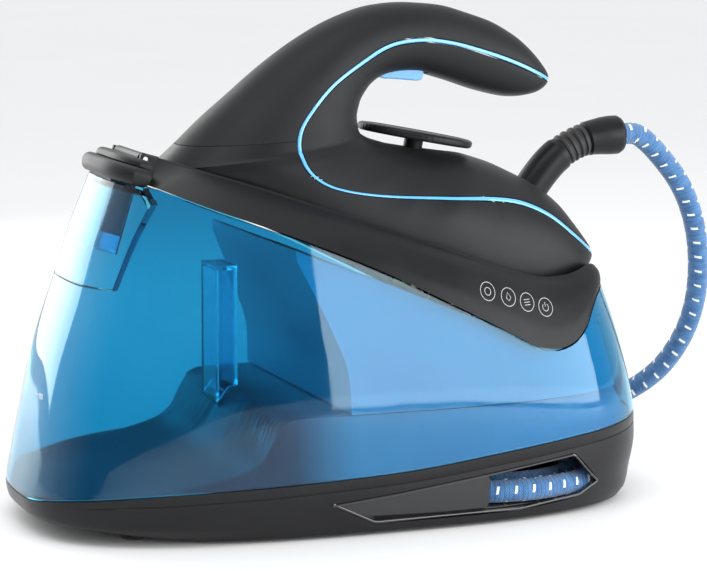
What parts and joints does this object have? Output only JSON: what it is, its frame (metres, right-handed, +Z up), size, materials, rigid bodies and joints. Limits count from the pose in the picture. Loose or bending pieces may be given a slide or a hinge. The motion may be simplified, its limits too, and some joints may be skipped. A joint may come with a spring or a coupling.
{
  "type": "steam generator iron",
  "caption": "Steam iron resting on the sloping deck of a base with a translucent water tank, a filler lid and a braided steam hose stored in a bay.",
  "frame": {"origin": "middle of the base in plan, on the surface it stands on", "axes": "+Z up; +X along the base, from the filler lid to the iron's heel; +Y across it, away from the side with the level mark"},
  "size_m": [0.4841, 0.2254, 0.3125],
  "materials": {
    "black_plastic": "satin",
    "satin_black": "satin",
    "gloss_black": "gloss",
    "tank_blue": "clear gloss",
    "clear_blue": "clear gloss",
    "housing_grey": "satin",
    "dark_plastic": "satin",
    "trim_blue": "gloss",
    "trigger_blue": "satin",
    "steel": "brushed",
    "aluminium": "cast",
    "brass": "satin",
    "rubber": "matt",
    "white_plastic": "satin",
    "board_green": "matt",
    "shield_grey": "matt",
    "silicone": "matt",
    "lens_amber": "clear",
    "hose_fabric": "braided"
  },
  "bodies": {
    "base": {"base_tray": "black_plastic", "bay_partition": "gloss_black", "hose_bay_liner": "gloss_black", "chassis": "dark_plastic", "tank_shell": "tank_blue", "filler_section": "tank_blue", "filler_chute": "clear_blue", "scale_filter": "dark_plastic", "inner_housing": "housing_grey", "deck_cover": "black_plastic", "iron_rest": "silicone", "lid_hinge_pin": "steel", "boiler": "steel", "boiler_heater": "brass", "pump": "white_plastic", "pump_tube": "white_plastic", "solenoid_valve": "brass", "steam_pipe": "brass", "control_board": "board_green", "hose_socket": "brass", "water_intake": "clear_blue", "indicator_lens": "lens_amber", "mains_inlet": "rubber", "foot_1": "rubber", "foot_2": "rubber", "foot_3": "rubber", "foot_4": "rubber", "steam_hose": "hose_fabric"},
    "iron": {"body_shell": "black_plastic", "handle_cover": "black_plastic", "inner_cover": "satin_black", "trim_strip_near": "trim_blue", "trim_strip_far": "trim_blue", "handle_end_cap": "black_plastic", "heel_cap": "black_plastic", "heat_shield": "shield_grey", "soleplate": "steel", "steam_casting": "aluminium", "sole_heater": "brass", "trigger_pin": "steel", "steam_switch": "white_plastic", "thermostat": "brass", "hose_guard": "black_plastic", "hose_relief": "rubber", "hose_sleeve": "black_plastic", "iron_steam_tube": "rubber"},
    "trigger": {"trigger": "trigger_blue"},
    "dial": {"dial": "black_plastic"},
    "lid": {"filler_lid": "black_plastic", "lid_cap": "black_plastic", "lid_seal": "rubber"},
    "power_button": {"power_button": "black_plastic"},
    "drain_cap": {"drain_cap": "black_plastic"}
  },
  "joints": [
    {"name": "iron_lift", "type": "slide", "parent": "base", "child": "iron", "axis": [0, 0, 1], "range_m": [0, 0.1], "deforming": ["steam_hose"]},
    {"name": "steam_trigger", "type": "hinge", "parent": "iron", "child": "trigger", "pos_m": [0.03387, 0, 0.27282], "axis": [0, -1, 0], "range_deg": [0, 7], "stiffness_Nm_per_rad": 0.5, "springref_deg": -3.44},
    {"name": "temperature_dial", "type": "hinge", "parent": "iron", "child": "dial", "pos_m": [0.05949, 0, 0.22672], "axis": [0.1891, 0, 0.982], "range_deg": [0, 270]},
    {"name": "filler_lid_hinge", "type": "hinge", "parent": "base", "child": "lid", "pos_m": [-0.12542, 0, 0.22321], "axis": [0, 1, 0], "range_deg": [0, 100]},
    {"name": "power_press", "type": "slide", "parent": "base", "child": "power_button", "axis": [-1, 0, 0], "range_m": [0, 0.002], "stiffness_N_per_m": 300, "springref_m": -0.003},
    {"name": "drain_cap_turn", "type": "hinge", "parent": "base", "child": "drain_cap", "pos_m": [-0.07, 0.0922, 0.019], "axis": [0, 1, 0], "range_deg": [0, 90]}
  ]
}
